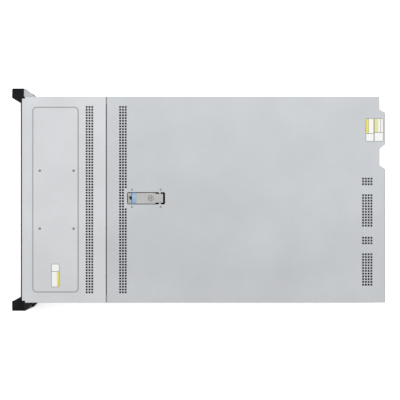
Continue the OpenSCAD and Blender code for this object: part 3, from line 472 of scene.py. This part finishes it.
def solid_from_outline(name, outline, base, height, finish, body):
    """Closed prism on an outline in X and Y, riding on a body."""
    mesh = bmesh.new()
    rings = [[mesh.verts.new((x, y, z)) for x, y in outline] for z in (base, base + height)]
    mesh.faces.new(list(reversed(rings[0])))
    mesh.faces.new(rings[1])
    count = len(outline)
    for i in range(count):
        j = (i + 1) % count
        mesh.faces.new((rings[0][i], rings[0][j], rings[1][j], rings[1][i]))
    bmesh.ops.recalc_face_normals(mesh, faces=mesh.faces)
    data = bpy.data.meshes.new(name)
    mesh.to_mesh(data)
    mesh.free()
    item = place_in_scene(name, data)
    item.data.materials.append(finish)
    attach(item, body)
    return item


# %% Print and stick the labels
LABEL_T = 0.12 * MM
LABEL_CORNER = 1.2 * MM
BORDER_W = 0.8
PAPER = (0.60, 0.60, 0.595)
BORDER = (0.05, 0.05, 0.05)
YELLOW = (0.55, 0.50, 0.06)
PALE_YELLOW = (0.50, 0.50, 0.22)


def stick_label(name, x, y, width, depth, top, bands, body, square_end=1):
    """Label with a thin border, a plain square at one end and bands along its width.

    A band is (from, to, colour), in millimetres from the edge that faces the front of the machine.
    """
    made = Finish(name + "_print")
    along, across = made.axis("Y") - y / MM, (made.axis("X") - x / MM) * square_end
    half_w, half_d = width / MM / 2, depth / MM / 2
    colour = made.mix(made.noise(60, 3) * 0.12, PAPER, (0.60, 0.60, 0.58))
    for start, end, tone in bands:
        colour = made.mix((along > start - half_d) * (along < end - half_d), colour, tone)
    square = half_w - depth / MM + 1
    line = made.node("ShaderNodeMath", {"operation": "COMPARE"}, {0: across, 1: square, 2: 0.5})
    rim = made.math_max(abs(along) > half_d - BORDER_W, abs(across) > half_w - BORDER_W)
    colour = made.mix(across > square, colour, PAPER)
    colour = made.mix(made.math_max(line, rim), colour, BORDER)
    finish = made.done(Base_Color=colour, Roughness=0.45, Coat_Weight=0.15,
                       Normal=made.bump(made.noise(900, 2), 0.08, 0.00004))
    outline = [(x + px, y + py) for px, py in rounded_outline(width, depth, LABEL_CORNER)]
    return solid_from_outline(name, outline, top, LABEL_T, finish, body)


REAR_LABELS_X = -151.3 * MM
REAR_LABELS_W = 49.9 * MM
stick_label("front_label", 164.5 * MM, cover_low.y + 72.9 * MM, 50 * MM, 17.4 * MM, cover_high.z,
            [(12.0, 16.6, YELLOW)], "chassis", -1)
stick_label("rear_label_1", REAR_LABELS_X, lid_high.y - 32.9 * MM, REAR_LABELS_W, 18.0 * MM, lid_high.z,
            [(0.9, 5.9, YELLOW), (5.9, 6.6, BORDER)], "rear_lid")
stick_label("rear_label_2", REAR_LABELS_X, lid_high.y - 13.6 * MM, REAR_LABELS_W, 20.2 * MM, lid_high.z,
            [(0.9, 8.9, PALE_YELLOW), (13.5, 14.3, BORDER)], "rear_lid")

# %% [markdown]
# ## What repeats
# Screw heads, lenses, chips and contact blades come in dozens. Modelling each by hand would be slow, and
# a copy moved by hand drifts. So each kind is one small Geometry Nodes tree with named inputs: points say
# where, and the tree says what stands there. A screw head is a cone that is cut off low, with its top
# face drawn in and pushed down for the driver. A chip is a block with a random size from a fixed seed.
# Each result is turned into a plain mesh, one for each moving body.


# %% Trees for heads and blocks
class Graph(Maker):
    """A Geometry Nodes tree under construction, with named inputs."""

    def __init__(self, name, inputs):
        self.tree = bpy.data.node_groups.new(name, "GeometryNodeTree")
        for label, kind in [("Geometry", "Geometry"), *inputs, ("Material", "Material")]:
            self.tree.interface.new_socket(name=label, in_out="INPUT", socket_type="NodeSocket" + kind)
        self.tree.interface.new_socket(name="Geometry", in_out="OUTPUT", socket_type="NodeSocketGeometry")
        self.source = self.tree.nodes.new("NodeGroupInput")

    def given(self, label):
        """An input of the tree, by its name."""
        return Field(self, self.source.outputs[label])

    def done(self, instances):
        """Makes the instances real, gives them their material and returns the tree."""
        real = self.node("GeometryNodeRealizeInstances", {}, {"Geometry": instances})
        real = self.node("GeometryNodeSetMaterial", {}, {
            "Geometry": real, "Material": self.given("Material")})
        output = self.tree.nodes.new("NodeGroupOutput")
        self.tree.links.new(real.socket, output.inputs["Geometry"])
        return self.tree


TOP_SHARE = 0.72
RECESS_SHARE = 0.62
HEAD_SIDES = 20


def head_tree():
    """Low cone with a round recess, turned to the direction stored on each point."""
    made = Graph("heads", [("Radius", "Float"), ("Height", "Float"), ("Recess", "Float")])
    radius = made.given("Radius")
    cone = made.node("GeometryNodeMeshCone", {}, {
        "Vertices": HEAD_SIDES, "Radius Top": radius * TOP_SHARE, "Radius Bottom": radius,
        "Depth": made.given("Height")})
    top = Field(made, cone.socket.node.outputs["Top"])
    drawn = made.node("GeometryNodeExtrudeMesh", {}, {"Mesh": cone, "Selection": top, "Offset Scale": 0.0})
    inner = Field(made, drawn.socket.node.outputs["Top"])
    drawn = made.node("GeometryNodeScaleElements", {}, {
        "Geometry": drawn, "Selection": inner, "Scale": RECESS_SHARE})
    sunk = made.node("GeometryNodeExtrudeMesh", {}, {
        "Mesh": drawn, "Selection": inner, "Offset Scale": made.given("Recess") * -1})
    facing = made.node("GeometryNodeInputNamedAttribute", {"data_type": "FLOAT_VECTOR"}, {"Name": "facing"})
    turn = made.node("FunctionNodeAlignRotationToVector", {"axis": "Z"}, {"Vector": facing})
    return made.done(made.node("GeometryNodeInstanceOnPoints", {}, {
        "Points": made.given("Geometry"), "Instance": sunk, "Rotation": turn}))


def block_tree():
    """Block that stands on each point, with a random size in millimetres."""
    made = Graph("blocks", [("Smallest", "Vector"), ("Largest", "Vector"), ("Seed", "Int")])
    cube = made.node("GeometryNodeMeshCube", {}, {"Size": (MM, MM, MM)})
    cube = made.node("GeometryNodeTransform", {}, {"Geometry": cube, "Translation": (0, 0, MM / 2)})
    size = made.node("FunctionNodeRandomValue", {"data_type": "FLOAT_VECTOR"}, {
        0: made.given("Smallest"), 1: made.given("Largest"), "Seed": made.given("Seed")})
    return made.done(made.node("GeometryNodeInstanceOnPoints", {}, {
        "Points": made.given("Geometry"), "Instance": cube, "Scale": size}))


HEADS = head_tree()
BLOCKS = block_tree()


def grow(tree, name, places, body, facing=(0, 0, 1), **inputs):
    """Runs a tree on a list of points and keeps the result as a plain mesh that rides on a body."""
    mesh = bpy.data.meshes.new(name)
    mesh.from_pydata(places, [], [])
    direction = mesh.attributes.new("facing", "FLOAT_VECTOR", "POINT")
    direction.data.foreach_set("vector", [part for _ in places for part in facing])
    item = place_in_scene(name, mesh)
    modifier = item.modifiers.new("grow", "NODES")
    modifier.node_group = tree
    for socket in tree.interface.items_tree:
        if socket.in_out == "INPUT" and socket.name in inputs:
            modifier[socket.identifier] = inputs[socket.name]
    grown = item.evaluated_get(bpy.context.evaluated_depsgraph_get())
    item.data = bpy.data.meshes.new_from_object(grown)
    item.modifiers.remove(modifier)
    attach(item, body)
    return item


# %% Finishes of the small pieces
screw_zinc = satin_metal("screw_zinc", (0.34, 0.34, 0.35), 0.25, (1, 1, 0.05))
gold_contact = satin_metal("gold_contact", (0.62, 0.44, 0.16), 0.25, (0.05, 1, 1))
chip_black = moulding("chip_black", (0.012, 0.012, 0.013), 0.4, 2200)
lens_milk = moulding("lens_milk", (0.34, 0.36, 0.35), 0.25, 600, 0.5)

# %% [markdown]
# ## Screws
# Two columns of three screws hold each side wall behind its ear, and a row holds the rear panel's upper
# edge. Their heads face out, so a point carries its direction with it.

# %% Screws of the side walls and the rear panel
HEAD = {"Radius": 2.6 * MM, "Height": 0.8 * MM, "Recess": 0.5 * MM}
BEHIND_EAR = (14 * MM, 60 * MM)
WALL_SCREWS_Z = (28, 87, 146)
REAR_SCREWS_X = (-200, -120, -40, 40, 120, 200)
wall_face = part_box("side_wall_right")[1].x
ear_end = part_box("ear_bracket_right")[1].y
rear_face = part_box("rear_panel")[1].y
rear_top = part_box("rear_panel")[1].z
for side, hand in ((-1, "left"), (1, "right")):
    columns = [(side * (wall_face + 0.3 * MM), ear_end + behind, z * MM)
               for behind in BEHIND_EAR for z in WALL_SCREWS_Z]
    grow(HEADS, f"wall_screws_{hand}", columns, "chassis", (side, 0, 0), Material=screw_zinc, **HEAD)
top_row = [(x * MM, rear_face - 0.1 * MM, rear_top - 6 * MM) for x in REAR_SCREWS_X]
grow(HEADS, "rear_panel_screws", top_row, "chassis", (0, 1, 0), Material=screw_zinc, **HEAD)
print("screws:", 2 * len(columns) + len(top_row))

# %% [markdown]
# ## Lenses and contact blades
# Each drive carrier has two light guides beside its lever, and each power supply has one over its inlet.
# Unlit, they are milky. The same head does for them, almost without a recess. In each inlet stand three
# flat blades, the middle one lower, as in the usual mains socket. They ride with their carrier or supply.

# %% Lenses on the carriers and supplies, blades in the inlets
CARRIER_LENS = {"Radius": 1.3 * MM, "Height": 0.5 * MM, "Recess": 0.1 * MM}
SUPPLY_LENS = {"Radius": 1.6 * MM, "Height": 0.5 * MM, "Recess": 0.1 * MM}
BLADE = (2, 9.6, 4)
BLADE_PLACES = ((-24, 9), (-18, 6), (-12, 9))
BLADE_DEPTH = 9 * MM
carriers = [name for name in nodes if name.startswith("drive_carrier_")]
supplies = [name for name in nodes if name.startswith("power_supply_")]
for name in carriers:
    low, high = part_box(name)
    middle_z = (low.z + high.z) / 2
    pair = [(low.x + 3.7 * MM, low.y + 0.1 * MM, middle_z + rise * MM) for rise in (-5, 5)]
    grow(HEADS, f"{name}_lenses", pair, name, (0, -1, 0), Material=lens_milk, **CARRIER_LENS)
for name in supplies:
    low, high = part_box(name)
    middle_x = (low.x + high.x) / 2
    blades = [(middle_x + x * MM, rear_face - BLADE_DEPTH, low.z + z * MM) for x, z in BLADE_PLACES]
    grow(BLOCKS, f"{name}_blades", blades, name, Material=gold_contact,
         Smallest=BLADE, Largest=BLADE, Seed=1)
    lens = [(middle_x - 31 * MM, rear_face + 0.1 * MM, low.z + 30 * MM)]
    grow(HEADS, f"{name}_lens", lens, name, (0, 1, 0), Material=lens_milk, **SUPPLY_LENS)
print("lenses:", 2 * len(carriers) + len(supplies), "blades:", len(BLADE_PLACES) * len(supplies))

# %% [markdown]
# ## Chips and coils
# The main board shows under the cross bar when the lid is off. Between the fans and the memory lie rows
# of chips and tall coils, and two columns of chips run between the processors. No two chips are quite
# the same size: the seed decides, within limits that keep them apart.

# %% Chips and coils on the main board
board_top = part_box("cpu_heatsinks")[0].z
memory_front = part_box("memory_modules")[0].y
SUNK = 0.02 * MM
front_strip = [((-190 + 20 * column) * MM, memory_front - (14 + 17 * row) * MM, board_top - SUNK)
               for column in range(20) for row in range(3)]
centre_strip = [(x * MM, memory_front + (8 + 18 * row) * MM, board_top - SUNK)
                for x in (-9, 8) for row in range(8)]
grow(BLOCKS, "board_chips", front_strip + centre_strip, "chassis", Material=chip_black,
     Smallest=(4, 4, 1.2), Largest=(14, 12, 3.4), Seed=7)
coils = [(x + 9 * MM, y + 8 * MM, z) for x, y, z in front_strip[::2]]
grow(BLOCKS, "board_coils", coils, "chassis", Material=screw_zinc,
     Smallest=(3, 3, 4), Largest=(5, 5, 8), Seed=11)
print("chips:", len(front_strip + centre_strip), "coils:", len(coils))

# %% [markdown]
# ## Stage, light and camera
# Bare metal shows what surrounds it, so a pale surround does most of the lighting. The floor is a lit
# table, which gives off a little light of its own, so that the ground stays white right up to the
# machine. One large soft panel at the side and a smaller one over each end give the sheet its slow
# change of tone. The camera looks straight down with a long lens, and its frame is shifted a little so
# that the machine sits in the middle.

# %% Floor
floor_mesh = bpy.data.meshes.new("floor")
HALF_TABLE = 30
TABLE_GLOW = 0.35
corners = [(x * HALF_TABLE, y * HALF_TABLE, 0) for x, y in ((-1, -1), (1, -1), (1, 1), (-1, 1))]
floor_mesh.from_pydata(corners, [], [(0, 1, 2, 3)])
floor = place_in_scene("floor", floor_mesh)
floor.location.z = cad_box[0].z - 0.5 * MM
paint = Finish("floor_paint")
pale = paint.mix(paint.noise(0.6, 2), (0.93, 0.93, 0.93), (0.96, 0.96, 0.96))
floor.data.materials.append(paint.done(Base_Color=pale, Roughness=0.9, Emission_Color=pale,
                                       Emission_Strength=TABLE_GLOW))

# %% Light
world = bpy.data.worlds.new("studio")
world.use_nodes = True
surround = world.node_tree.nodes["Background"].inputs
surround["Color"].default_value = (1.0, 1.0, 1.0, 1)
surround["Strength"].default_value = 1.0
bpy.context.scene.world = world


AIM = Vector((0, 0, 0.1))


def soft_panel(name, place, size, power):
    """Rectangular lamp that looks at the middle of the machine."""
    data = bpy.data.lights.new(name, "AREA")
    data.shape = "RECTANGLE"
    data.size, data.size_y = size
    data.energy = power
    lamp = place_in_scene(name, data)
    lamp.location = place
    lamp.rotation_mode = "QUATERNION"
    lamp.rotation_quaternion = (AIM - Vector(place)).to_track_quat("-Z", "Y")


soft_panel("side_panel", (-2.6, 0.5, 2.8), (2.4, 2.4), 70)
soft_panel("front_panel", (-0.6, -3.0, 2.8), (2.0, 1.4), 22)
soft_panel("end_panel", (-0.6, 3.0, 3.0), (2.0, 1.4), 22)

# %% Camera
FRAME_WIDTH = 867.6 * MM
CAMERA_RISE = 4.2
SENSOR = 36
camera_x, camera_y = 42 * MM, 42 * MM
middle_x, middle_y = 0.76 * MM, 3.16 * MM
camera_data = bpy.data.cameras.new("camera")
camera_data.sensor_width = SENSOR
camera_data.lens = SENSOR * CAMERA_RISE / FRAME_WIDTH
camera_data.shift_x = (middle_y - camera_y) / FRAME_WIDTH
camera_data.shift_y = (camera_x - middle_x) / FRAME_WIDTH
camera = place_in_scene("camera", camera_data)
stand = Matrix.Translation((camera_x, camera_y, lid_high.z + CAMERA_RISE))
camera.matrix_world = stand @ Matrix.Rotation(math.pi / 2, 4, "Z")
bpy.context.scene.camera = camera
bpy.context.scene.view_settings.view_transform = "Standard"
